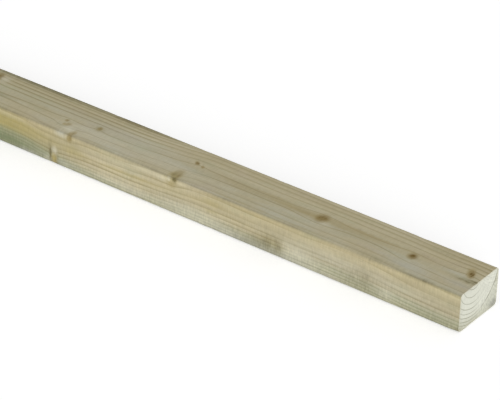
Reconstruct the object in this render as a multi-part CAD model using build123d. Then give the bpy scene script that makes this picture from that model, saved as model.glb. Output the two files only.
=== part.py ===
"""A planed softwood batten, one piece as it was sawn, lying flat on a wide face.

X runs along the grain, Y across the wide face and Z up. The origin is under the
middle of the batten, on the face that it lies on.
"""
import os

from build123d import *

# Stock sizes in millimetres, each of them the size after planing
LENGTH = 1800.0
WIDTH = 70.0
THICKNESS = 45.0

# The planer eases the four long edges, and the saw leaves the ends square
ARRIS_RADIUS = 4.0


def planed_section() -> Sketch:
    """The section across the grain, standing on Y with Z up, at the far end of the batten."""
    far_end = Plane.YZ.offset(-LENGTH / 2)
    return far_end * Pos(0, THICKNESS / 2) * RectangleRounded(WIDTH, THICKNESS, ARRIS_RADIUS)


def planed_batten() -> Part:
    """The section run along the whole length, and cut off square."""
    return extrude(planed_section(), amount=LENGTH)


os.makedirs("parts", exist_ok=True)
export_step(planed_batten(), "parts/planed_batten.step")
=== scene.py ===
"""A planed softwood batten lying on its wide face, with its wood, its light and its camera.

The wood is one model of a grown log: a pith line, yearly rings round it and branches that
leave it. The shape's relief and the surface colours both read that model, so a ring that
crosses an arris or an end meets itself on the next face. The model counts in millimetres,
and everything that Blender holds is in metres.
"""

import logging
import math
from dataclasses import dataclass, field
from enum import Enum
from functools import partialmethod
from typing import Callable, Dict, Mapping, Optional, Sequence, Tuple, Union

import bpy
from mathutils import Matrix, Vector


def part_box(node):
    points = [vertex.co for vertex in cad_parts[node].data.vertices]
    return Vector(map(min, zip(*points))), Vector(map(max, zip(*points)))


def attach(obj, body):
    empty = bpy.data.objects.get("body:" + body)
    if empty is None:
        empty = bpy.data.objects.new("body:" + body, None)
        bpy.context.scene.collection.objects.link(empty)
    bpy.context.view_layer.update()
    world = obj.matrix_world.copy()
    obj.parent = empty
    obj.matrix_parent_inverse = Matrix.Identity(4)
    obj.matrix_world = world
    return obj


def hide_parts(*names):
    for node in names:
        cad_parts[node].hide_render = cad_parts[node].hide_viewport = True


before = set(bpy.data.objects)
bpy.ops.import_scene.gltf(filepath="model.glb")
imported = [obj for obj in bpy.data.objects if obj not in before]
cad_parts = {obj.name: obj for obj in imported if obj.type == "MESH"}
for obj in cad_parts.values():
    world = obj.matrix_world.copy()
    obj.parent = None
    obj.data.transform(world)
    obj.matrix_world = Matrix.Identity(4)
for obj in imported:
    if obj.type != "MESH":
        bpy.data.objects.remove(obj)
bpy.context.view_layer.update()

log = logging.getLogger("batten")

MM = 0.001
NODE = "planed_batten"
BODY = "root"
PIECE = "batten_wood"
ARRIS_SHARE = "arris"       # the point attribute that says how far round an arris a point lies
WHITE = (1.0, 1.0, 1.0)

Socket = bpy.types.NodeSocket
Sockets = Mapping[str, Socket]
Wire = Union[Socket, float, Sequence[float]]
Colour = Tuple[float, float, float]
Point = Tuple[float, float, float]
Stations = Tuple[Tuple[float, float], ...]


class TreeKind(Enum):
    """The two kinds of node tree that the wood is written into."""

    SHADER = "ShaderNodeTree"
    GEOMETRY = "GeometryNodeTree"


class Tint(Enum):
    """What a stained place does to the wood's colour."""

    DAMP = "Damp"
    BROWN = "Brown"
    GREY = "Grey"
    YELLOW = "Yellow"
    PALE = "Pale"
    DARK = "Dark"


UNDER_KNOTS = (Tint.DAMP, Tint.BROWN, Tint.GREY)
OVER_KNOTS = (Tint.YELLOW, Tint.PALE, Tint.DARK)


class Graph:
    """Places nodes in one tree and wires them together."""

    def __init__(self, tree: bpy.types.NodeTree) -> None:
        """Keeps the shader or geometry tree that gets the nodes."""
        self.tree = tree

    def plug(self, socket: Socket, wire: Wire) -> None:
        """Links a wire to a socket, or writes a plain value on it.

        Args:
            socket: The input to fill.
            wire: Another node's output, or a number, vector or colour.
        """
        if isinstance(wire, Socket):
            self.tree.links.new(wire, socket)
        elif socket.type == "RGBA":
            socket.default_value = (*wire, 1.0)
        else:
            socket.default_value = wire

    def put(self, kind: str, wires: Optional[Mapping[Union[int, str], Wire]] = None,
            **settings: object) -> bpy.types.Node:
        """Adds one node.

        Args:
            kind: The node's type name.
            wires: What goes into its inputs, by name or number.
            **settings: The node's own settings.

        Returns:
            The new node.
        """
        node = self.tree.nodes.new(kind)
        for name, value in settings.items():
            setattr(node, name, value)
        for key, wire in (wires or {}).items():
            self.plug(node.inputs[key], wire)
        return node

    def math(self, operation: str, *wires: Wire, clamp: bool = False) -> Socket:
        """Adds a Math node. With clamp, its result is kept between 0 and 1."""
        node = self.put("ShaderNodeMath", dict(enumerate(wires)), operation=operation, use_clamp=clamp)
        return node.outputs[0]

    def chain(self, operation: str, *wires: Wire, clamp: bool = False) -> Socket:
        """Takes any number of wires through one kind of sum, from left to right.

        Args:
            operation: The sum to do.
            *wires: What goes in.
            clamp: Whether the last result is kept between 0 and 1.

        Returns:
            The last result.
        """
        so_far, *between, last = wires
        for wire in between:
            so_far = self.math(operation, so_far, wire)
        return self.math(operation, so_far, last, clamp=clamp)

    # plain names for the sums, which all take any number of wires
    times = partialmethod(chain, "MULTIPLY")
    plus = partialmethod(chain, "ADD")
    minus = partialmethod(chain, "SUBTRACT")
    over = partialmethod(chain, "DIVIDE")
    most = partialmethod(chain, "MAXIMUM")
    least = partialmethod(chain, "MINIMUM")
    # and one for a value times a slope, plus a start
    linear = partialmethod(math, "MULTIPLY_ADD")

    def vector(self, operation: str, *wires: Wire) -> Socket:
        """Adds a Vector Math node that puts out a vector. The second wire of SCALE is the factor."""
        slots = (0, 3) if operation == "SCALE" else range(len(wires))
        return self.put("ShaderNodeVectorMath", dict(zip(slots, wires)), operation=operation).outputs[0]

    def measure(self, operation: str, *wires: Wire) -> Socket:
        """Adds a Vector Math node that puts out a number, such as LENGTH or DOT_PRODUCT."""
        return self.put("ShaderNodeVectorMath", dict(enumerate(wires)), operation=operation).outputs[1]

    def combine(self, x: Wire = 0.0, y: Wire = 0.0, z: Wire = 0.0) -> Socket:
        """Makes a vector of three numbers."""
        return self.put("ShaderNodeCombineXYZ", {0: x, 1: y, 2: z}).outputs[0]

    def split(self, wire: Wire) -> Tuple[Socket, ...]:
        """Takes a vector apart into its three numbers."""
        return tuple(self.put("ShaderNodeSeparateXYZ", {0: wire}).outputs)

    def millimetres(self, place: Wire) -> Socket:
        """Turns a place in metres into one in millimetres."""
        return self.vector("SCALE", place, 1.0 / MM)

    def fade(self, value: Wire, low: float, high: float, to_low: float = 0.0,
             to_high: float = 1.0) -> Socket:
        """Maps a range of a value to another, from to_low at low to to_high at high, with soft ends."""
        wires = {0: value, 1: low, 2: high, 3: to_low, 4: to_high}
        return self.put("ShaderNodeMapRange", wires, interpolation_type="SMOOTHSTEP").outputs[0]

    def noise(self, at: Wire, scale: Union[float, Point] = 1.0, detail: float = 2.0,
              roughness: float = 0.5) -> Socket:
        """Adds soft noise between about -1 and 1.

        Args:
            at: Where it is read.
            scale: How many lumps there are to a unit, the same all ways or for each axis.
            detail: How many finer layers it has.
            roughness: How strong those layers are.

        Returns:
            The noise, centred on 0.
        """
        spread = self.vector("MULTIPLY", at, scale if isinstance(scale, tuple) else (scale,) * 3)
        wires = {"Vector": spread, "Scale": 1.0, "Detail": detail, "Roughness": roughness}
        raw = self.put("ShaderNodeTexNoise", wires, noise_dimensions="3D", normalize=True).outputs[0]
        return self.linear(raw, 2.0, -1.0)

    def bell(self, value: Wire) -> Socket:
        """Makes a soft peak: 1 where the value is 0, and falling away on both sides."""
        return self.math("EXPONENT", self.times(value, value, -1.0))

    def peak(self, value: Wire, middle: float, width: float) -> Socket:
        """Makes a soft peak of a given width about a middle."""
        return self.bell(self.over(self.minus(value, middle), width))

    def shaken(self, at: Wire, reach: float, scale: float) -> Socket:
        """Moves a place about at random, so that what is drawn there gets ragged edges.

        Args:
            at: The place.
            reach: About how far it moves.
            scale: How many lumps there are to a unit.

        Returns:
            The moved place.
        """
        wires = {"Vector": at, "Scale": scale, "Detail": 3.0}
        lumps = self.put("ShaderNodeTexNoise", wires, noise_dimensions="3D").outputs["Color"]
        push = self.vector("SCALE", self.vector("SUBTRACT", lumps, (0.5, 0.5, 0.5)), 4.0 * reach)
        return self.vector("ADD", at, push)

    def curve(self, value: Wire, stations: Stations, top: float) -> Socket:
        """Reads a smooth curve through a few points.

        Args:
            value: Where the curve is read, in the units of the stations.
            stations: The points, as pairs of a place and a value.
            top: A number that no value of the curve passes, up or down.

        Returns:
            The curve's value there.
        """
        first, last = stations[0][0], stations[-1][0]
        node = self.put("ShaderNodeFloatCurve", {"Value": self.over(self.minus(value, first), last - first)})
        points = node.mapping.curves[0].points
        while len(points) < len(stations):
            points.new(0.5, 0.5)
        for point, (place, height) in zip(points, stations):
            point.location = ((place - first) / (last - first), 0.5 + 0.5 * height / top)
            point.handle_type = "AUTO_CLAMPED"
        node.mapping.update()
        return self.linear(node.outputs[0], 2.0 * top, -top)

    def blend(self, share: Wire, low: Wire, high: Wire) -> Socket:
        """Blends two numbers by a share between 0 and 1."""
        return self.put("ShaderNodeMix", {0: share, 2: low, 3: high}, data_type="FLOAT").outputs[0]

    def tint(self, share: Wire, low: Wire, high: Wire, way: str = "MIX") -> Socket:
        """Blends two colours, by default as a plain mix."""
        wires = {0: share, 6: low, 7: high}
        return self.put("ShaderNodeMix", wires, data_type="RGBA", blend_type=way).outputs[2]

    def shade(self, colour: Wire, amount: Wire) -> Socket:
        """Makes a colour lighter or darker: 0 leaves it, and -0.1 makes it a tenth darker."""
        factor = self.plus(amount, 1.0)
        return self.tint(1.0, colour, self.combine(factor, factor, factor), way="MULTIPLY")

    def mesh_field(self, name: str) -> Socket:
        """Reads a field of the mesh that a geometry tree works on, such as Position or Normal."""
        return self.put("GeometryNodeInput" + name).outputs[0]

    def step(self, kind: str, geometry: Wire, wires: Mapping[str, Wire], **settings: object) -> Socket:
        """Takes the geometry through one node, and hands on what comes out of it."""
        return self.put("GeometryNode" + kind, {"Geometry": geometry, **wires}, **settings).outputs[0]


def blank_tree(owner: Union[bpy.types.Material, bpy.types.World]) -> Graph:
    """Gives a material or a world an empty node tree.

    Args:
        owner: The material or world.

    Returns:
        The tree, ready for wiring.
    """
    owner.use_nodes = True
    owner.node_tree.nodes.clear()
    return Graph(owner.node_tree)


def add_object(name: str, data: bpy.types.ID) -> bpy.types.Object:
    """Makes an object and puts it into the scene.

    Args:
        name: The object's name.
        data: Its mesh, lamp or camera.

    Returns:
        The object.
    """
    made = bpy.data.objects.new(name, data)
    bpy.context.scene.collection.objects.link(made)
    return made


def floats(*names: str) -> Dict[str, str]:
    """Lists sockets of a group that each carry one number."""
    return {name: "Float" for name in names}


@dataclass
class Group:
    """One node group: its tree, its wiring, and its inside ends."""

    name: str
    kind: TreeKind
    inputs: Mapping[str, str]
    outputs: Mapping[str, str]
    graph: Graph = field(init=False)
    into: bpy.types.Node = field(init=False)
    out: bpy.types.Node = field(init=False)

    def __post_init__(self) -> None:
        """Makes the tree and its sockets."""
        tree = bpy.data.node_groups.new(self.name, self.kind.value)
        for side, sockets in (("INPUT", self.inputs), ("OUTPUT", self.outputs)):
            for name, kind in sockets.items():
                tree.interface.new_socket(name=name, in_out=side, socket_type="NodeSocket" + kind)
        self.graph = Graph(tree)
        self.into = self.graph.put("NodeGroupInput")
        self.out = self.graph.put("NodeGroupOutput")

    def give(self, name: str, wire: Wire) -> None:
        """Sends a wire out of the group by the name of its output."""
        self.graph.plug(self.out.inputs[name], wire)

    def place(self, graph: Graph, wires: Mapping[str, Wire]) -> Sockets:
        """Puts the group into another tree as one node, and hands on that node's outputs."""
        kind = self.kind.value.replace("NodeTree", "NodeGroup")
        return graph.put(kind, wires, node_tree=self.graph.tree).outputs


@dataclass(frozen=True)
class Knot:
    """One branch that the batten's saw and planer cut through. Sizes in mm."""

    eye: Point              # where it comes out of a face
    radius: float           # its radius there
    tone: float             # how dark its heart is, from 0 to 1
    lean: float = 12.0      # degrees that it leans along the grain, towards -X
    reach: float = 90.0     # how far from the pith it grew before the trunk closed over it
    core: float = 1.2       # how wide its dark heart is, as a share of its radius
    side: float = 0.3       # how far towards +X that heart lies, as a share of its radius


@dataclass(frozen=True)
class Patch:
    """A stained or bleached place, as an ellipsoid that the surface cuts. Sizes in mm."""

    middle: Point
    spread: Point
    amount: float


@dataclass(frozen=True)
class GrownLog:
    """The log that the batten was sawn from, in the batten's own millimetres.

    The stations are places along the batten from its far end, -900, to its near end, +900.
    """

    pith_across: Stations = (
        (-900, -3), (-650, 5), (-400, 2), (-150, -6), (100, -12), (280, -13), (360, -14), (450, -13),
        (510, -9), (580, -4), (650, -4.5), (720, -4.5), (780, -5.5), (840, -8), (900, -9.5))
    pith_up: Stations = (
        (-900, 62), (-500, 60.5), (-100, 60), (280, 57.3), (500, 56), (590, 56.2), (650, 56.5), (770, 56.6),
        (840, 54), (870, 53.2), (900, 53))
    # how much wider the rings grew towards the front, in mm
    front_growth: Stations = (
        (-900, 0), (-400, 1), (0, -1), (240, -1.5), (320, -1.7), (365, 1.5), (400, 0.3), (430, -0.6),
        (480, -0.3), (520, 0.6), (560, 1.4), (690, 1.2), (740, 0.2), (900, 0))
    # how many rings there are inside a distance from the pith, and how dark each year's line is
    ring_ages: Stations = ((0, 0), (13, 1), (34.5, 4), (44, 6), (55, 9), (66, 13), (80, 18.5))
    year_darkness: Stations = (
        (0, 1.0), (1, 1.0), (2, 0.65), (3, 0.65), (4, 0.75), (5, 0.5), (6, 0.85), (7, 0.7), (8, 0.75),
        (9, 0.6), (10, 0.75), (11, 0.55), (13, 0.7), (16, 0.5), (19, 0.6))
    # how far from the pith the heartwood ends
    heart_edge: Stations = (
        (-900, 46), (-500, 50), (-100, 45), (240, 43), (330, 45), (460, 52), (600, 51), (740, 50),
        (900, 45.5))
    branch_taper: float = 12.0      # mm of trunk in which a branch grows to half its full radius
    swelling: float = 0.26          # how far the rings bend round a branch, as a share of its radius
    line_end: float = 0.93          # the share of a ring at which its latewood is darkest
    far_off: float = 1000.0         # mm, farther than any branch
    knots: Tuple[Knot, ...] = (
        Knot((886.2, 4, 45), 4.0, 1.0, core=0.62, side=0.42, lean=20),
        Knot((821.5, -4.5, 45), 4.3, 0.85, core=1.2, side=0.35, lean=8),
        Knot((708, -2.5, 45), 6.4, 0.52, core=1.6, side=0.15, lean=6),
        Knot((538.5, 5, 45), 2.4, 0.50, lean=34, reach=60),
        Knot((548, 2, 45), 1.8, 0.20, lean=30, reach=34),
        Knot((535, -34, 41.5), 6.2, 0.80, core=0.42, side=0.72, lean=3),
        Knot((410, -4, 45), 2.7, 0.40, lean=12, reach=66),
        Knot((370, -11.5, 45), 2.3, 0.34, lean=25, reach=40),
        Knot((376.5, -17.5, 45), 3.3, 0.22, core=1.6, lean=20, reach=42),
        Knot((392.5, -34, 41), 3.6, 0.34, core=0.50, side=0.40, lean=4),
        Knot((370.5, -35, 7), 3.9, 0.04, lean=3),
        Knot((245, 12.5, 45), 4.6, 0.60, core=1.30, lean=9),
        Knot((215, 35, 14), 5.5, 0.50, lean=8),
        Knot((118, -6, 45), 5.2, 0.55, lean=9),
        Knot((104, -35, 26), 3.2, 0.35, lean=12),
        Knot((-46, 22, 45), 3.4, 0.65, lean=14, reach=70),
        Knot((-61, -12, 45), 6.0, 0.50, lean=7),
        Knot((-228, 3, 45), 2.8, 0.70, lean=20, reach=48),
        Knot((-240, 35, 28), 4.8, 0.45, lean=6),
        Knot((-402, -20, 45), 4.6, 0.60, lean=10),
        Knot((-415, 8, 45), 5.8, 0.55, lean=5),
        Knot((-586, -35, 20), 4.4, 0.40, lean=9),
        Knot((-601, 14, 45), 3.2, 0.70, lean=16, reach=58),
        Knot((-762, -4, 45), 6.4, 0.58, lean=8),
        Knot((-778, 35, 20), 3.8, 0.45, lean=6),
    )

    def read(self, stations: Stations, along: float) -> float:
        """Reads a row of stations as straight runs.

        Args:
            stations: The places and their values.
            along: A place along the batten.

        Returns:
            The value there.
        """
        for (a, low), (b, high) in zip(stations, stations[1:]):
            if along <= b:
                return low + (high - low) * max(0.0, along - a) / (b - a)
        return stations[-1][1]

    def branch_line(self, knot: Knot) -> Tuple[Vector, Vector, float]:
        """Works out where a branch leaves the pith, which way it goes, and how far off its eye is.

        Args:
            knot: The branch.

        Returns:
            Its root, its direction and its distance from the root to the eye.
        """
        x, y, z = knot.eye
        out = math.hypot(y - self.read(self.pith_across, x), z - self.read(self.pith_up, x))
        root_x = x + out * math.tan(math.radians(knot.lean))
        root = Vector((root_x, self.read(self.pith_across, root_x), self.read(self.pith_up, root_x)))
        way = Vector(knot.eye) - root
        return root, way.normalized(), way.length

    def branch_group(self, kind: TreeKind) -> Group:
        """Builds the group that lets one branch grow out of the trunk.

        The trunk's rings swell round the branch. Inside it, age is given as the trunk radius of the
        year in which the branch was as thick as that.

        Args:
            kind: The kind of tree.

        Returns:
            The group.
        """
        carried = floats("Trunk", "Branch", "Edge", "Dark")
        sockets = {"Place": "Vector", "Root": "Vector", "Way": "Vector",
                   **floats("Full Radius", "Reach", "Tone", "Core", "Side"), **carried}
        made = Group("branch", kind, sockets, carried)
        g, given = made.graph, made.into.outputs
        full = given["Full Radius"]
        offset = g.vector("SUBTRACT", given["Place"], given["Root"])
        along = g.measure("DOT_PRODUCT", offset, given["Way"])
        aside = g.vector("SUBTRACT", offset, g.vector("SCALE", given["Way"], along))
        across = g.measure("LENGTH", aside)
        age = g.over(g.times(across, self.branch_taper), g.most(g.minus(full, across), 0.03))
        # behind the pith, and past its reach, the branch soon ends
        behind = g.times(g.most(g.times(along, -1.0), 0.0), 30.0)
        beyond = g.times(g.most(g.minus(along, given["Reach"]), 0.0), 12.0)
        outside = g.plus(behind, beyond)
        made.give("Branch", g.least(g.plus(age, outside), given["Branch"]))
        # how far inside the branch's own bark a place is, as a share of its radius
        wide = g.over(g.times(full, given["Trunk"]), g.plus(given["Trunk"], self.branch_taper))
        edge = g.over(g.minus(wide, across, outside), full)
        made.give("Edge", g.most(edge, given["Edge"]))
        # the darkest wood lies to one side of the branch's middle
        heart = g.vector("SUBTRACT", aside, g.combine(g.times(wide, given["Side"])))
        heart = g.over(g.measure("LENGTH", heart), g.times(wide, given["Core"]))
        dark = g.linear(g.bell(heart), 0.85, 0.15)
        nearer = g.math("GREATER_THAN", edge, given["Edge"])
        made.give("Dark", g.blend(nearer, given["Dark"], g.times(dark, given["Tone"])))
        # the swelling is longer along the grain than across it
        flat = g.measure("LENGTH", g.vector("MULTIPLY", aside, (0.62, 1.0, 1.0)))
        spread = g.over(flat, g.linear(full, 0.95, 1.5))
        alive = g.fade(outside, 0.0, 60.0, 1.0, 0.0)
        swell = g.times(g.bell(spread), alive, g.times(full, self.swelling))
        made.give("Trunk", g.minus(given["Trunk"], swell))
        return made

    def growth_group(self, kind: TreeKind) -> Group:
        """Builds the group that says how the wood grew at any place.

        Args:
            kind: The kind of tree.

        Returns:
            The group. It puts out the number of rings, the distance from the pith in mm, how far a
            place is into the sapwood, whether it is in a knot, how near it is to a knot's rim, and
            how dark the knot's wood is there.
        """
        made = Group("grown log", kind, {"Position": "Vector"},
                     floats("Rings", "Radius", "Sapwood", "Knot", "Rim", "Dark"))
        g, given = made.graph, made.into.outputs
        place = g.millimetres(given["Position"])
        x, y, z = g.split(place)
        # slow bends of the grain, finer across it than along it
        sway = g.noise(place, (0.0075, 0.03, 0.03))
        middle_y = g.curve(x, self.pith_across, 20.0)
        middle_z = g.curve(x, self.pith_up, 80.0)
        arm = g.combine(0.0, g.minus(y, middle_y), g.minus(z, middle_z))
        trunk = g.linear(sway, 1.6, g.measure("LENGTH", arm))
        wider = g.times(g.curve(x, self.front_growth, 10.0), g.fade(y, -32.0, -15.0, 1.0, 0.0))
        trunk = g.minus(trunk, wider)
        torn = g.shaken(place, 0.5, 0.35)
        branch = self.branch_group(kind)
        far = self.far_off
        carried: Dict[str, Wire] = {"Trunk": trunk, "Branch": far, "Edge": -far, "Dark": 0.0}
        for knot in self.knots:
            root, way, long = self.branch_line(knot)
            own = {"Place": torn, "Root": root, "Way": way, "Reach": knot.reach, "Tone": knot.tone,
                   "Core": knot.core, "Side": knot.side,
                   "Full Radius": knot.radius * (long + self.branch_taper) / long}
            outs = branch.place(g, {**own, **carried})
            carried = {name: outs[name] for name in carried}
        age = g.math("SMOOTH_MIN", carried["Trunk"], carried["Branch"], 3.0)
        made.give("Rings", g.curve(age, self.ring_ages, 40.0))
        made.give("Radius", trunk)
        edge = g.minus(trunk, g.curve(x, self.heart_edge, 80.0))
        edge = g.linear(g.noise(place, (0.02, 0.09, 0.09)), 2.5, edge)
        made.give("Sapwood", g.fade(edge, -4.0, 4.0))
        made.give("Knot", g.fade(carried["Edge"], -0.40, 0.35))
        made.give("Rim", g.bell(g.over(carried["Edge"], 0.15)))
        made.give("Dark", carried["Dark"])
        return made

    def latewood_group(self) -> Group:
        """Builds the shader group that turns a count of rings into the dark latewood at each ring's end.

        Returns:
            The group. Latewood is 1 at the darkest line, and each year has its own strength.
        """
        made = Group("latewood", TreeKind.SHADER, floats("Rings", "Start"), floats("Latewood"))
        g, given = made.graph, made.into.outputs
        share = g.math("FRACT", given["Rings"])
        rise = g.over(g.minus(share, given["Start"]), g.minus(self.line_end, given["Start"]), clamp=True)
        close = g.fade(share, self.line_end, 1.0, 1.0, 0.0)
        year = g.plus(g.math("FLOOR", given["Rings"]), 1.0)
        line = g.times(g.math("POWER", rise, 1.4), close)
        made.give("Latewood", g.times(line, g.curve(year, self.year_darkness, 1.0)))
        return made


@dataclass(frozen=True)
class Weathering:
    """The stains, bleached places, dirt and other darker and paler places on the batten, in its own
    millimetres.
    """

    patches: Tuple[Tuple[Tint, Tuple[Patch, ...]], ...] = (
        (Tint.DARK, (
            # the first two make a dark band along the upper back arris, from about 150 to 490 mm
            Patch((300, 34, 45), (150, 7, 8), 0.95),
            Patch((430, 33, 45), (62, 5.5, 5), 0.95),
            Patch((410, -4, 45), (8, 5, 3), 0.24),
            Patch((365.2, -35, 12), (1.9, 4, 10), 0.90),
            Patch((376.2, -35, 9), (1.2, 4, 8), 0.40),
            Patch((674, -35, 13), (8.5, 5, 12), 0.52),
            Patch((655, -35, 10), (16, 5, 9), 0.42),
            Patch((640, -35, 7), (20, 5, 7), 0.28),
            Patch((538, -35, 42.3), (2.4, 3, 2.0), 1.2),
            Patch((534, -29, 45), (2.2, 5, 2.0), 0.45),
            Patch((844, -35, 42), (24, 3, 5), 0.28),
            Patch((663, -35, 13), (9, 5, 12), 0.56),
            Patch((785, -35, 15), (11, 5, 13), 0.34),
            Patch((775, -35, 12), (18, 5, 9), 0.22),
            Patch((858, -35, 45), (14, 3, 2.5), 0.50),
            Patch((792, -34, 45), (14, 3, 3), 0.35),
            Patch((897, -6.2, 45.8), (10, 1.7, 2.5), 0.95),
            Patch((891, -9.2, 45.8), (14, 1.9, 2.5), 0.90),
            Patch((900, 31, 31), (4, 1.3, 2.4), 0.55),
            Patch((900, -34, 4), (5, 8, 3), 0.45),
            Patch((900, -14, 1), (6, 30, 10), 0.22),
            Patch((-120, -35, 12), (60, 6, 12), 0.35),
            Patch((-500, 36, 44), (160, 7, 8), 0.50),
            Patch((60, 30, -1), (140, 14, 5), 0.45))),
        (Tint.DAMP, (
            Patch((300, -35, 9), (76, 6, 15), 0.72),
            Patch((400, -35, 3), (80, 5, 9), 0.22),
            Patch((870, -35, 5), (36, 5, 8), 0.24),
            Patch((-650, -36, 8), (110, 6, 12), 0.55),
            Patch((-300, 36, 6), (170, 7, 12), 0.45),
            Patch((300, 6, 45), (85, 20, 4), 0.12))),
        (Tint.BROWN, (
            Patch((690, -3.5, 45), (125, 6.0, 4), 0.80),
            Patch((760, 1.5, 45), (75, 2.4, 3), 0.80),
            Patch((640, 1.5, 45), (60, 2.2, 3), 0.60),
            Patch((690, -34, 45), (28, 3, 3), 0.50),
            Patch((750, -11, 45), (30, 4, 4), 0.28))),
        (Tint.YELLOW, (
            Patch((300, -35, 30), (75, 5, 9), 0.75),
            Patch((370.5, -35, 6), (3.6, 4, 8.5), 0.65),
            Patch((398, -35, 29), (20, 5, 8), 0.50),
            Patch((480, -35, 26), (34, 4, 1.8), 0.34),
            Patch((535, -32, 42), (8, 9, 8), 0.52),
            Patch((410, -5, 45), (5, 5, 3), 0.32),
            Patch((589, -35, 34), (13, 4, 4), 0.34),
            Patch((588, -35, 22), (9, 4, 2), 0.45),
            Patch((-350, -36, 30), (70, 5, 8), 0.35))),
        (Tint.GREY, (
            Patch((828, -23, 45), (24, 7, 4), 0.50),
            Patch((872, -3, 45), (18, 4, 4), 0.38),
            Patch((525, -10, 45), (34, 7, 4), 0.30),
            Patch((650, -35, 4), (90, 4, 6), 0.62),
            Patch((375, -35, 6), (30, 4, 5), 0.35),
            Patch((886, -18, 45), (20, 5, 4), 0.45),
            Patch((440, 2, 45), (70, 10, 4), 0.35),
            Patch((800, -35, 22), (130, 5, 12), 0.30),
            Patch((334, -35, 3), (14, 4, 3), 0.60),
            Patch((900, 30, 4), (6, 10, 6), 0.80))),
        (Tint.PALE, (
            Patch((455, -20, 45), (90, 12, 4), 0.38),
            Patch((704, -35, 15), (24, 5, 11), 0.60),
            Patch((812, -35, 10), (9, 5, 8), 0.45),
            Patch((742, -35, 22), (46, 4, 3), 0.46),
            Patch((745, -35, 25), (100, 5, 8), 0.30),
            Patch((555, -35, 13), (60, 5, 10), 0.62),
            Patch((470, -35, 11), (60, 6, 9), 0.50),
            Patch((510, -35, 40), (70, 5, 7), 0.30),
            Patch((380, -35, 42), (7, 4, 4), 1.0),
            Patch((450, -35, 32), (75, 4, 6), 0.30),
            Patch((520, -35, 39), (14, 4, 5), 0.40),
            Patch((691, -35, 20), (16, 4, 7), 0.45),
            Patch((531, -34, 41), (3.5, 4, 4), 0.65),
            Patch((371, -35, 17), (4, 4, 5), 0.85),
            Patch((363, -35, 3), (5, 4, 5), 0.50),
            Patch((384, -24, 45), (9, 7, 4), 0.78),
            Patch((255, 16, 45), (6, 6, 4), 0.50),
            Patch((716, -9, 45), (7, 4, 4), 0.35),
            Patch((525, -12, 45), (34, 6, 4), 0.30))),
    )
    ragged: float = 1.2     # about how far a patch's edge wanders

    def spot_group(self) -> Group:
        """Builds the shader group that adds one patch to those found so far.

        Returns:
            The group.
        """
        sockets = {"Place": "Vector", "Middle": "Vector", "Spread": "Vector", **floats("Amount", "So Far")}
        made = Group("stained spot", TreeKind.SHADER, sockets, floats("Mask"))
        g, given = made.graph, made.into.outputs
        offset = g.vector("DIVIDE", g.vector("SUBTRACT", given["Place"], given["Middle"]), given["Spread"])
        here = g.times(g.bell(g.measure("LENGTH", offset)), given["Amount"])
        made.give("Mask", g.most(here, given["So Far"]))
        return made

    def group(self) -> Group:
        """Builds the shader group that says how stained or bleached a place is.

        Returns:
            The group, with one mask for each tint.
        """
        made = Group("weathering", TreeKind.SHADER, {"Position": "Vector"}, floats(*(t.value for t in Tint)))
        g, given = made.graph, made.into.outputs
        place = g.shaken(g.millimetres(given["Position"]), self.ragged, 0.2)
        spot = self.spot_group()
        for tint, patches in self.patches:
            mask: Wire = 0.0
            for patch in patches:
                wires = {"Place": place, "Middle": patch.middle, "Spread": patch.spread,
                         "Amount": patch.amount, "So Far": mask}
                mask = spot.place(g, wires)["Mask"]
            made.give(tint.value, mask)
        return made


def fibre_group() -> Group:
    """Builds the shader group for the wood's fibres: long streaks on a side, and dots on an end.

    Returns:
        The group. Streaks, Cloud, Bloom and Marks run from -1 to 1. Marks are short and lie across
        the grain, and Canals is 1 in the few dark resin canals.
    """
    made = Group("fibres", TreeKind.SHADER, {"Position": "Vector"},
                 floats("Streaks", "Canals", "Cloud", "Bloom", "Marks"))
    g, given = made.graph, made.into.outputs
    place = g.millimetres(given["Position"])
    fine = g.noise(place, (0.045, 0.9, 0.9), detail=3.0, roughness=0.7)
    broad = g.noise(place, (0.014, 0.22, 0.22))
    made.give("Streaks", g.linear(broad, 0.7, g.times(fine, 0.9)))
    spread = g.vector("MULTIPLY", place, (0.06, 0.8, 0.8))
    cells = g.put("ShaderNodeTexVoronoi", {"Vector": spread, "Scale": 1.0}, feature="F1")
    few = g.math("GREATER_THAN", g.split(cells.outputs["Color"])[0], 0.72)
    made.give("Canals", g.times(g.fade(cells.outputs["Distance"], 0.10, 0.24, 1.0, 0.0), few))
    made.give("Cloud", g.noise(place, (0.014, 0.06, 0.06), detail=4.0, roughness=0.55))
    made.give("Bloom", g.noise(place, (0.025, 0.075, 0.075), detail=3.0))
    made.give("Marks", g.noise(place, (0.50, 0.11, 0.11), detail=3.0, roughness=0.7))
    return made


@dataclass(frozen=True)
class WoodGroups:
    """The shader groups that every finish of the batten reads."""

    growth: Group
    latewood: Group
    stains: Group
    fibres: Group


@dataclass(frozen=True)
class WoodColours:
    """The colours of one finish, as light values."""

    heart: Colour
    heart_late: Colour
    sap: Colour
    sap_late: Colour
    knot: Colour
    knot_dark: Colour
    stains: Mapping[Tint, Colour]


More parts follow.
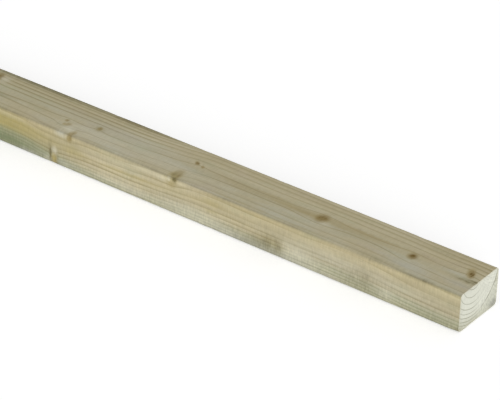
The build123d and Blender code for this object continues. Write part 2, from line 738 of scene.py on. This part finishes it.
@dataclass(frozen=True)
class WoodSurface:
    """The start of one wood finish: its tree, its colour so far, and the masks behind it."""

    graph: Graph
    material: bpy.types.Material
    place: Socket       # in millimetres
    colour: Socket
    masks: Sockets

    def knotted(self, colour: Wire, colours: WoodColours) -> Socket:
        """Lays the knots and the stains over a finish's colour.

        Args:
            colour: Its colour.
            colours: The finish's colours.

        Returns:
            The colour with knots and stains.
        """
        g, mask = self.graph, self.masks
        streaky = g.fade(mask["Streaks"], -0.5, 0.4, 0.75, 1.20)
        stains = {tint: (g.times(mask[tint.value], streaky, clamp=True), tone)
                  for tint, tone in colours.stains.items()}
        # a knot's heart is cracked across the grain, with paler wood between the cracks
        cracked = g.times(streaky, g.fade(mask["Marks"], -0.30, 0.30, 0.72, 1.42))
        heart = g.times(mask["knot"], mask["heart"], cracked)
        rim = g.times(mask["rim"], g.times(mask["heart"], 0.5))
        layers = [*(stains[tint] for tint in UNDER_KNOTS), (g.times(mask["knot"], 0.62), colours.knot),
                  (g.most(rim, heart, clamp=True), colours.knot_dark), *(stains[tint] for tint in OVER_KNOTS)]
        for share, laid in layers:
            colour = g.tint(share, colour, laid)
        return colour

    def finished(self, colour: Wire, rough: Wire, height: Wire, relief: float,
                 specular: float) -> bpy.types.Material:
        """Ends the finish with one surface, and a fine relief on it.

        Args:
            colour: The finished colour.
            rough: How rough it is.
            height: The height of the fine relief.
            relief: What a height of 1 stands for, in metres.
            specular: How much it shines.

        Returns:
            The finished material.
        """
        g = self.graph
        bump = g.put("ShaderNodeBump", {"Strength": 1.0, "Distance": relief, "Height": height})
        shader = g.put("ShaderNodeBsdfPrincipled", {"Base Color": colour, "Roughness": rough,
                                                    "Normal": bump.outputs[0],
                                                    "Specular IOR Level": specular})
        g.put("ShaderNodeOutputMaterial", {"Surface": shader.outputs[0]})
        return self.material


def start_finish(name: str, groups: WoodGroups, colours: WoodColours, start: float,
                 contrast: Callable[[Graph, Wire], Wire]) -> WoodSurface:
    """Starts a finish with the colour that all share: heartwood and sapwood, with their ring lines.

    Args:
        name: The material's name.
        groups: The shared groups.
        colours: The finish's colours.
        start: The share of a ring after which it darkens.
        contrast: Wires how strong the ring lines are, from the place in millimetres.

    Returns:
        The new material with its colour so far.
    """
    made = bpy.data.materials.new(name)
    g = blank_tree(made)
    position = g.put("ShaderNodeTexCoord").outputs["Object"]
    place = g.millimetres(position)
    grown, stain, fibre = (group.place(g, {"Position": position})
                           for group in (groups.growth, groups.stains, groups.fibres))
    # the first years are wide, with only a thin dark line at their end
    start_here = g.fade(grown["Radius"], 13.0, 27.0, 0.87, start)
    late = groups.latewood.place(g, {"Rings": grown["Rings"], "Start": start_here})["Latewood"]
    late = g.times(late, contrast(g, place), g.linear(fibre["Cloud"], 0.9, 1.0), clamp=True)
    early = g.tint(grown["Sapwood"], colours.heart, colours.sap)
    dark = g.tint(grown["Sapwood"], colours.heart_late, colours.sap_late)
    masks = {"late": late, "knot": grown["Knot"], "rings": grown["Rings"], "rim": grown["Rim"],
             "heart": grown["Dark"], **dict(fibre.items()), **dict(stain.items())}
    return WoodSurface(g, made, place, g.tint(late, early, dark), masks)


@dataclass(frozen=True)
class PlanedFinish:
    """The planed long faces: heartwood, greener sapwood, and a greyed face on top."""

    colours: WoodColours = WoodColours(
        heart=(0.545, 0.475, 0.290), heart_late=(0.325, 0.265, 0.125),
        sap=(0.500, 0.480, 0.330), sap_late=(0.300, 0.300, 0.175),
        knot=(0.345, 0.253, 0.073), knot_dark=(0.125, 0.075, 0.009),
        stains={Tint.YELLOW: (0.420, 0.350, 0.125), Tint.BROWN: (0.390, 0.325, 0.170),
                Tint.GREY: (0.480, 0.480, 0.405), Tint.DAMP: (0.180, 0.215, 0.110),
                Tint.PALE: (0.650, 0.620, 0.475), Tint.DARK: (0.190, 0.162, 0.070)})
    grey_veil: Colour = (0.430, 0.430, 0.345)
    veil_amount: float = 0.70
    bloom: Colour = (0.385, 0.420, 0.270)
    blush: Colour = (0.500, 0.425, 0.330)
    canal_colour: Colour = (0.260, 0.205, 0.105)
    ring_start: float = 0.34
    roughness: float = 0.60
    specular: float = 0.12
    fibre_relief: float = 0.00006
    knife_pitch: float = 1.9        # mm
    less_darkened_middle: float = 775.0   # mm, the middle of a length of the upper front arris that is darkened less
    less_darkened_reach: float = 48.0     # mm, to each side

    def line_strength(self, g: Graph, place: Wire) -> Socket:
        """Wires how strong the ring lines are: most at the back of the top, and less high on the sides.

        Args:
            g: The material's tree.
            place: The place in millimetres.

        Returns:
            The strength.
        """
        x, y, z = g.split(place)
        sides = g.blend(g.fade(z, 18.0, 32.0), 1.35, g.fade(x, 580.0, 720.0, 0.95, 0.60))
        # one length near the sawn end has plainer lines there than the rest
        back = g.most(g.fade(x, 440.0, 510.0, 0.7, 0.0), g.fade(x, 830.0, 880.0, 0.0, 0.6))
        upper = g.linear(back, g.fade(y, -6.0, 4.0), 1.0)
        return g.blend(g.fade(z, 43.0, 44.8), sides, upper)

    def weathered(self, wood: WoodSurface, top: Socket) -> Socket:
        """Greys the upper face, tints the wood with damp and lays the knots and stains over it.

        Args:
            wood: The finish that was started.
            top: How far a place belongs to the upper face.

        Returns:
            The colour.
        """
        g, mask = wood.graph, wood.masks
        y = g.split(wood.place)[1]
        # rain and light grey the upper face, most of all towards the front
        patchy = g.times(g.fade(mask["Cloud"], -0.45, 0.45, 0.15, 1.0), g.fade(y, -22.0, 22.0, 1.0, 0.35))
        veil = g.times(top, g.times(patchy, self.veil_amount), g.linear(mask["late"], -0.5, 1.0))
        colour = g.tint(veil, wood.colour, self.grey_veil)
        # damp has left some of it greener and some of it pinker
        colour = g.tint(g.fade(mask["Bloom"], 0.0, 0.7, 0.0, 0.35), colour, self.bloom)
        colour = g.tint(g.fade(mask["Bloom"], -0.7, 0.0, 0.30, 0.0), colour, self.blush)
        colour = g.tint(g.times(mask["Canals"], 0.35), colour, self.canal_colour)
        return wood.knotted(colour, self.colours)

    def unevenness(self, wood: WoodSurface, top: Socket) -> Socket:
        """Works out how much lighter or darker each place is made by fibres, dirt, painted shade on the
        arrises and a darker upper face.

        Args:
            wood: The finish that was started.
            top: How far a place belongs to the upper face.

        Returns:
            The amount, for the tree's shade.
        """
        g, mask = wood.graph, wood.masks
        x, y, z = g.split(wood.place)
        # the cloud makes places lighter and darker, and the upper face is a little darker as a whole
        uneven = g.linear(mask["Cloud"], 0.20, g.times(top, -0.03))
        uneven = g.linear(mask["Streaks"], g.blend(top, 0.14, 0.11), uneven)
        # dirt held in the planer's chatter shows most low down and where the wood is stained
        held = g.plus(g.fade(z, 8.0, 26.0, 0.36, 0.21), g.times(mask[Tint.DARK.value], 0.60))
        uneven = g.linear(mask["Marks"], g.times(held, g.blend(top, 1.0, 0.7)), uneven)
        # painted shade darkens every rounded arris, against the brighter band that the lamp gives it
        corner_offset_or_arris_share = g.put("ShaderNodeAttribute", attribute_name=ARRIS_SHARE).outputs["Fac"]
        less_darkened = g.peak(x, self.less_darkened_middle, self.less_darkened_reach)
        # the upper front arris is darker still, but less so along one length
        darker_front_arris = g.times(g.fade(y, -24.0, -30.0), g.fade(z, 40.0, 43.0), g.linear(less_darkened, -0.85, 1.0))
        uneven = g.linear(corner_offset_or_arris_share, g.linear(darker_front_arris, -0.25, -0.10), uneven)
        # the sides are a little paler just under their upper arrises
        return g.linear(g.peak(z, 40.0, 2.0), 0.08, uneven)

    def material(self, groups: WoodGroups) -> bpy.types.Material:
        """Builds the material.

        Args:
            groups: The shared groups.

        Returns:
            The material of the long faces.
        """
        wood = start_finish("planed_softwood", groups, self.colours, self.ring_start, self.line_strength)
        g, mask = wood.graph, wood.masks
        x, _, z = g.split(wood.place)
        top = g.fade(z, 42.5, 44.5)
        colour = g.shade(self.weathered(wood, top), self.unevenness(wood, top))
        rough = g.linear(mask["Streaks"], 0.06, g.linear(mask["late"], -0.10, self.roughness))
        # the planer's knives leave shallow waves across the grain
        wave = g.times(g.math("SINE", g.times(x, 2.0 * math.pi / self.knife_pitch)), 0.10)
        height = g.plus(mask["Streaks"], g.plus(wave, g.times(mask["late"], 0.7)))
        return wood.finished(colour, rough, height, self.fibre_relief, self.specular)


@dataclass(frozen=True)
class SawnFinish:
    """The sawn ends: pale cut fibres, thin ring lines, saw marks and a grey lower corner."""

    colours: WoodColours = WoodColours(
        heart=(0.670, 0.675, 0.580), heart_late=(0.230, 0.230, 0.150),
        sap=(0.590, 0.595, 0.495), sap_late=(0.200, 0.200, 0.120),
        knot=(0.420, 0.360, 0.230), knot_dark=(0.160, 0.120, 0.060),
        stains={Tint.YELLOW: (0.600, 0.560, 0.330), Tint.BROWN: (0.520, 0.480, 0.350),
                Tint.GREY: (0.290, 0.290, 0.250), Tint.DAMP: (0.300, 0.320, 0.230),
                Tint.PALE: (0.700, 0.690, 0.600), Tint.DARK: (0.300, 0.280, 0.175)})
    shake: Colour = (0.240, 0.230, 0.160)
    shake_ring: float = 6.0             # the ring along which the wood has parted
    shake_width: float = 0.20
    edge_tint: Colour = (0.560, 0.530, 0.390)
    half_width: float = 35.0            # mm, of the batten
    half_thickness: float = 22.5        # mm, of the batten
    pith: Tuple[float, float] = (-9.0, 54.0)            # mm, across and up, where the rays start
    saw_shaft: Tuple[float, float] = (-140.0, 130.0)    # mm, across and up
    saw_pitch: float = 2.3              # mm
    ring_start: float = 0.78
    roughness: float = 0.82
    specular: float = 0.12
    fibre_relief: float = 0.00012

    def line_strength(self, g: Graph, place: Wire) -> Socket:
        """Wires how strong the ring lines are: clear at the front, and torn over by the saw behind."""
        _, y, z = g.split(place)
        return g.blend(g.fade(y, -12.0, 6.0), g.fade(z, 15.0, 27.0, 1.9, 1.15), 0.35)

    def material(self, groups: WoodGroups) -> bpy.types.Material:
        """Builds the material.

        Args:
            groups: The shared groups.

        Returns:
            The material of the two ends.
        """
        wood = start_finish("sawn_end_grain", groups, self.colours, self.ring_start, self.line_strength)
        g, mask, place = wood.graph, wood.masks, wood.place
        x, y, z = g.split(place)
        # the near end has a fine shake along one ring
        broken = g.fade(g.noise(place, 0.13, detail=1.0), -0.6, 0.2)
        line = g.times(g.peak(mask["rings"], self.shake_ring, self.shake_width), broken, g.fade(y, 2.0, 14.0))
        line = g.times(line, g.fade(x, 0.0, 1.0))
        colour = g.tint(g.times(line, 0.95), wood.knotted(wood.colour, self.colours), self.shake)
        # the cut is a little yellower where it meets the long faces
        beside = g.fade(g.math("ABSOLUTE", y), self.half_width - 5.0, self.half_width)
        up = g.math("ABSOLUTE", g.minus(z, self.half_thickness))
        edge = g.most(beside, g.fade(up, self.half_thickness - 3.5, self.half_thickness))
        colour = g.tint(g.times(edge, 0.35), colour, self.edge_tint)
        # each tooth of the saw leaves part of a circle about its shaft
        arm = g.combine(0.0, g.minus(y, self.saw_shaft[0]), g.minus(z, self.saw_shaft[1]))
        wander = g.linear(g.noise(place, 0.05), 2.5, g.measure("LENGTH", arm))
        cut = g.math("SINE", g.times(wander, 2.0 * math.pi / self.saw_pitch))
        # rays run out from the pith, and the torn ones look rough
        across = g.math("ARCTAN2", g.minus(y, self.pith[0]), g.minus(self.pith[1], z))
        rays = g.noise(g.combine(0.0, g.times(across, 22.0), g.times(mask["rings"], 0.6)))
        lumps = g.noise(place, 0.35, detail=4.0, roughness=0.7)
        tone = g.linear(mask["Streaks"], 0.06, g.linear(lumps, 0.10, g.times(cut, 0.015)))
        tone = g.linear(rays, g.fade(y, -10.0, 10.0, 0.05, 0.36), tone)
        height = g.linear(line, -2.0, g.linear(cut, 0.35, g.plus(lumps, mask["Streaks"])))
        return wood.finished(g.shade(colour, tone), self.roughness, height, self.fibre_relief, self.specular)


@dataclass
class Batten:
    """The batten's visible body: a box of fine cells, rounded at its arrises and let in by its relief.

    Sizes are in metres where no comment says mm, and the outer ones come from the frame.
    """

    length: float
    width: float
    thickness: float
    arris: float = 4.0 * MM
    cells_along: int = 560
    cells_across: int = 50
    cells_up: int = 32
    even_share: float = 0.45        # 1 spaces the cells evenly, less gathers them at the ends
    ring_relief: float = 0.06       # mm, how far the soft wood of a ring sits below the hard
    knot_relief: float = 0.25       # mm
    cup: float = 0.25               # mm, how far the wide faces cup as the wood dried
    dent: float = 0.8               # mm, the deepest knock on an arris
    rough_cut: float = 0.15         # mm, how rough the saw left the ends
    corner_wear: float = 0.6        # mm, off the near lower corner
    worn_corner: Point = (900.0, -34.0, 1.0)    # mm
    worn_reach: Point = (7.0, 4.0, 4.0)         # mm
    chart_gap: float = 4.0 * MM     # between the parts of the flat map

    def section(self, g: Graph, given: Sockets, place: Wire) -> Tuple[Socket, Socket]:
        """Rounds the long edges of the box.

        Args:
            g: The geometry tree.
            given: The tree's named inputs.
            place: The place on the square-edged box.

        Returns:
            The rounded place, and how far round an arris it is, from 0 to 1.
        """
        x, y, z = g.split(place)
        half_length, half_width, half_thickness = (g.times(given[name], 0.5)
                                                   for name in ("Length", "Width", "Thickness"))
        even = g.over(x, half_length)
        bent = g.math("SINE", g.times(even, 0.5 * math.pi))
        share = g.plus(g.times(even, given["Even Share"]), g.times(bent, g.minus(1.0, given["Even Share"])))
        past = []
        for along, half in ((y, half_width), (z, half_thickness)):
            core = g.minus(half, given["Arris"])
            held = g.most(g.least(along, core), g.times(core, -1.0))
            past.append((held, g.minus(along, held)))
        (held_y, past_y), (held_z, past_z) = past
        far_y, far_z = g.math("ABSOLUTE", past_y), g.math("ABSOLUTE", past_z)
        reach = g.most(g.measure("LENGTH", g.combine(0.0, past_y, past_z)), 1e-7)
        factor = g.over(g.most(far_y, far_z), reach)
        new_z = g.plus(g.linear(past_z, factor, held_z), half_thickness)
        rounded = g.combine(g.times(share, half_length), g.linear(past_y, factor, held_y), new_z)
        return rounded, g.over(g.least(far_y, far_z), given["Arris"])

    def relief(self, g: Graph, given: Sockets, grown: Sockets, rounding: Wire) -> Socket:
        """Works out how far the surface lies inside the planed size.

        Args:
            g: The geometry tree.
            given: The tree's named inputs.
            grown: What the log says of each point.
            rounding: How far round an arris the point is.

        Returns:
            The depth in metres.
        """
        place = g.millimetres(g.mesh_field("Position"))
        x, y, z = g.split(place)
        wave = g.math("COSINE", g.times(grown["Rings"], 2.0 * math.pi))
        soft = g.times(g.linear(wave, -0.5, 0.5), given["Ring Relief"])
        sunk = g.times(grown["Rim"], given["Knot Relief"])
        across = g.over(y, (0.5 * self.width - self.arris) / MM)
        bow = g.times(across, across, clamp=True)
        on_top = g.times(bow, g.fade(z, 40.0, 44.9))
        below = g.times(g.minus(1.0, bow), g.fade(z, 0.1, 5.0, 1.0, 0.0))
        cupped = g.times(g.plus(on_top, below), given["Cup"])
        knocks = g.noise(place, (0.05, 0.12, 0.12), roughness=0.6)
        knocks = g.times(g.fade(knocks, 0.10, 0.55), given["Dent"], rounding)
        corner_offset_or_arris_share = g.vector("DIVIDE", g.vector("SUBTRACT", place, self.worn_corner), self.worn_reach)
        knocks = g.linear(g.bell(g.measure("LENGTH", corner_offset_or_arris_share)), self.corner_wear, knocks)
        end = 0.5 * self.length / MM
        torn = g.fade(g.noise(place, 0.12, detail=3.0), -0.3, 0.6, 0.0, self.rough_cut)
        torn = g.times(torn, g.fade(g.math("ABSOLUTE", x), end - 1.5, end))
        depth = g.plus(g.plus(soft, sunk), g.plus(cupped, g.plus(knocks, torn)))
        return g.times(depth, MM)

    def tree(self, grown_log: GrownLog, faces: bpy.types.Material,
             ends: bpy.types.Material) -> Tuple[Group, Dict[str, float]]:
        """Builds the geometry tree of the body.

        Args:
            grown_log: The log that it is sawn from.
            faces: The material of the long faces.
            ends: The material of the ends.

        Returns:
            The tree, and the values of its named inputs.
        """
        sizes = {"Length": self.length, "Width": self.width, "Thickness": self.thickness,
                 "Arris": self.arris, "Even Share": self.even_share, "Ring Relief": self.ring_relief,
                 "Knot Relief": self.knot_relief, "Cup": self.cup, "Dent": self.dent}
        counts = {"Cells Along": self.cells_along + 1, "Cells Across": self.cells_across + 1,
                  "Cells Up": self.cells_up + 1}
        sockets = {"Geometry": "Geometry", **floats(*sizes), **{name: "Int" for name in counts}}
        made = Group("batten_body", TreeKind.GEOMETRY, sockets, {"Geometry": "Geometry"})
        g, given = made.graph, made.into.outputs
        size = g.combine(given["Length"], given["Width"], given["Thickness"])
        vertices = {"Vertices " + axis: given[name] for axis, name in zip("XYZ", counts)}
        shape = g.put("GeometryNodeMeshCube", {"Size": size, **vertices}).outputs["Mesh"]
        rounded, rounding = self.section(g, given, g.mesh_field("Position"))
        shape = g.step("StoreNamedAttribute", shape, {"Name": ARRIS_SHARE, "Value": rounding},
                       data_type="FLOAT", domain="POINT")
        shape = g.step("SetPosition", shape, {"Position": rounded})
        grown = grown_log.growth_group(TreeKind.GEOMETRY).place(g, {"Position": g.mesh_field("Position")})
        kept = g.put("GeometryNodeInputNamedAttribute", {"Name": ARRIS_SHARE}, data_type="FLOAT")
        depth = self.relief(g, given, grown, kept.outputs["Attribute"])
        inward = g.vector("SCALE", g.mesh_field("Normal"), g.times(depth, -1.0))
        shape = self.chart(g, g.step("SetPosition", shape, {"Offset": inward}))
        shape = g.step("SetShadeSmooth", shape, {"Shade Smooth": True}, domain="FACE")
        bent = g.math("GREATER_THAN", g.mesh_field("MeshEdgeAngle"), 1.0)
        shape = g.step("SetShadeSmooth", shape, {"Selection": bent, "Shade Smooth": False}, domain="EDGE")
        shape = g.step("RealizeInstances", shape, {})
        shape = g.step("SetMaterial", shape, {"Material": faces})
        is_end = g.math("GREATER_THAN", g.math("ABSOLUTE", g.split(g.mesh_field("Normal"))[0]), 0.7)
        made.give("Geometry", g.step("SetMaterial", shape, {"Material": ends, "Selection": is_end}))
        return made, {**sizes, **counts}

    def chart(self, g: Graph, geometry: Wire) -> Socket:
        """Stores a flat map of the surface: each long face in three lengths, side by side, and the ends.

        Args:
            g: The geometry tree.
            geometry: The body.

        Returns:
            The body with its map.
        """
        gap, half, piece = self.chart_gap, 0.5 * self.length, self.length / 3.0
        wide, narrow = self.width, self.thickness
        block = 2.0 * (wide + narrow) + 4.0 * gap
        sheet = 3.0 * block
        position = g.mesh_field("Position")
        x, y, z = g.split(position)
        domain = {"data_type": "FLOAT_VECTOR", "domain": "FACE"}
        face_x = g.split(g.put("GeometryNodeFieldOnDomain", {0: position}, **domain).outputs[0])[0]
        normal = g.put("GeometryNodeFieldOnDomain", {0: g.mesh_field("Normal")}, **domain).outputs[0]
        turn_x, turn_y, turn_z = g.split(normal)
        part = g.math("FLOOR", g.over(g.plus(face_x, half), piece))
        part = g.least(g.most(part, 0.0), 2.0)
        lying = g.math("GREATER_THAN", g.math("ABSOLUTE", turn_z), g.math("ABSOLUTE", turn_y))
        under = g.math("LESS_THAN", turn_z, 0.0)
        behind = g.math("GREATER_THAN", turn_y, 0.0)
        is_end = g.math("GREATER_THAN", g.math("ABSOLUTE", turn_x), 0.7)
        near = g.math("GREATER_THAN", face_x, 0.0)
        along = g.minus(g.plus(x, half), g.times(part, piece))
        from_front = g.plus(y, 0.5 * wide)
        flat_row = g.linear(under, wide + gap, from_front)
        upright_row = g.plus(g.linear(behind, narrow + gap, z), 2.0 * (wide + gap))
        row = g.linear(part, block, g.blend(lying, upright_row, flat_row))
        u = g.over(g.blend(is_end, along, g.plus(from_front, piece + gap)), sheet)
        v = g.over(g.blend(is_end, row, g.linear(near, narrow + gap, z)), sheet)
        return g.step("StoreNamedAttribute", geometry, {"Name": "OFBake", "Value": g.combine(u, v)},
                      data_type="FLOAT2", domain="CORNER")

    def build(self, grown_log: GrownLog, faces: bpy.types.Material,
              ends: bpy.types.Material) -> bpy.types.Object:
        """Makes the finished body as a plain mesh.

        Args:
            grown_log: The log that it is sawn from.
            faces: The material of the long faces.
            ends: The material of the ends.

        Returns:
            The body's object, at the origin.
        """
        carrier = add_object("batten_carrier", bpy.data.meshes.new("batten_carrier"))
        group, values = self.tree(grown_log, faces, ends)
        modifier = carrier.modifiers.new("batten_body", "NODES")
        modifier.node_group = group.graph.tree
        for item in group.graph.tree.interface.items_tree:
            if item.in_out == "INPUT" and item.name in values:
                modifier[item.identifier] = values[item.name]
        depsgraph = bpy.context.evaluated_depsgraph_get()
        mesh = bpy.data.meshes.new_from_object(carrier.evaluated_get(depsgraph), depsgraph=depsgraph,
                                               preserve_all_data_layers=True)
        mesh.name = PIECE
        carrier.modifiers.remove(modifier)
        bpy.data.objects.remove(carrier)
        return add_object(PIECE, mesh)


@dataclass(frozen=True)
class Studio:
    """The floor, the lamp, the white surroundings and the camera. Angles in degrees."""

    aim: Point = (0.6280, -0.0203, 0.0450)
    distance: float = 2.6648
    azimuth: float = 36.24
    elevation: float = 30.87
    roll: float = 1.61
    lens: float = 183.8
    floor_size: float = 12.0
    floor_drop: float = 0.0004
    floor_white: float = 0.80
    floor_lift: float = 0.42
    sky: float = 0.50
    key_from: Point = (0.762, -0.537, 0.362)
    key_strength: float = 2.14
    key_softness: float = 40.0

    def seen(self, g: Graph) -> Socket:
        """Says whether a surface is looked at, straight or in a reflection, and doesn't light another."""
        rays = g.put("ShaderNodeLightPath").outputs
        return g.most(rays["Is Camera Ray"], rays["Is Glossy Ray"], rays["Is Transmission Ray"])

    def floor(self) -> None:
        """Lays the pale floor, which looks white to the camera and keeps the batten's shadow."""
        half, low = 0.5 * self.floor_size, -self.floor_drop
        mesh = bpy.data.meshes.new("floor")
        corners = [(-half, -half, low), (half, -half, low), (half, half, low), (-half, half, low)]
        mesh.from_pydata(corners, [], [(0, 1, 2, 3)])
        made = bpy.data.materials.new("pale_floor")
        g = blank_tree(made)
        matt = g.put("ShaderNodeBsdfDiffuse", {"Color": (self.floor_white,) * 3})
        lift = g.times(self.seen(g), self.floor_lift)
        glow = g.put("ShaderNodeEmission", {"Color": WHITE, "Strength": lift})
        both = g.put("ShaderNodeAddShader", {0: matt.outputs[0], 1: glow.outputs[0]})
        g.put("ShaderNodeOutputMaterial", {"Surface": both.outputs[0]})
        mesh.materials.append(made)
        add_object("floor", mesh)

    def surroundings(self) -> None:
        """Makes the world white where it is seen, and an even soft light on the wood."""
        world = bpy.data.worlds.new("studio")
        bpy.context.scene.world = world
        g = blank_tree(world)
        light = g.put("ShaderNodeBackground", {"Color": WHITE, "Strength": self.sky})
        white = g.put("ShaderNodeBackground", {"Color": WHITE, "Strength": 1.0})
        both = g.put("ShaderNodeMixShader", {0: self.seen(g), 1: light.outputs[0], 2: white.outputs[0]})
        g.put("ShaderNodeOutputWorld", {"Surface": both.outputs[0]})

    def lamp(self) -> None:
        """Hangs the one broad, distant lamp."""
        light = bpy.data.lights.new("key_light", "SUN")
        light.energy = self.key_strength
        light.angle = math.radians(self.key_softness)
        lamp = add_object("key_light", light)
        lamp.rotation_mode = "QUATERNION"
        lamp.rotation_quaternion = Vector(self.key_from).to_track_quat("Z", "Y")

    def camera(self) -> None:
        """Stands the camera where the photo was taken from, by its aim, distance and angles."""
        azimuth, elevation, roll = (math.radians(a) for a in (self.azimuth, self.elevation, self.roll))
        back = Vector((math.sin(azimuth) * math.cos(elevation), -math.cos(azimuth) * math.cos(elevation),
                       math.sin(elevation)))
        level = Vector((0.0, 0.0, 1.0)).cross(back).normalized()
        upright = back.cross(level)
        right = level * math.cos(roll) + upright * math.sin(roll)
        up = upright * math.cos(roll) - level * math.sin(roll)
        lens = bpy.data.cameras.new("camera")
        lens.lens = self.lens
        lens.sensor_width = 36.0
        lens.clip_end = 50.0
        turned = Matrix((right, up, back)).transposed().to_4x4()
        turned.translation = Vector(self.aim) + back * self.distance
        seen_from = add_object("camera", lens)
        seen_from.matrix_world = turned
        bpy.context.scene.camera = seen_from

    def build(self) -> None:
        """Sets up everything round the batten."""
        bpy.context.scene.view_settings.view_transform = "Standard"
        self.floor()
        self.surroundings()
        self.lamp()
        self.camera()


def main() -> None:
    """Builds the wood, the batten and the studio round it."""
    logging.basicConfig(level=logging.INFO, format="%(name)s: %(message)s")
    grown_log = GrownLog()
    groups = WoodGroups(grown_log.growth_group(TreeKind.SHADER), grown_log.latewood_group(),
                        Weathering().group(), fibre_group())
    log.info("wood model: %d branches", len(grown_log.knots))
    low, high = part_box(NODE)
    length, width, thickness = high - low
    batten = Batten(length, width, thickness)
    body = batten.build(grown_log, PlanedFinish().material(groups), SawnFinish().material(groups))
    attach(body, BODY)
    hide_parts(NODE)
    log.info("batten: %d faces", len(body.data.polygons))
    Studio().build()
    log.info("studio ready")


if __name__ == "__main__":
    main()
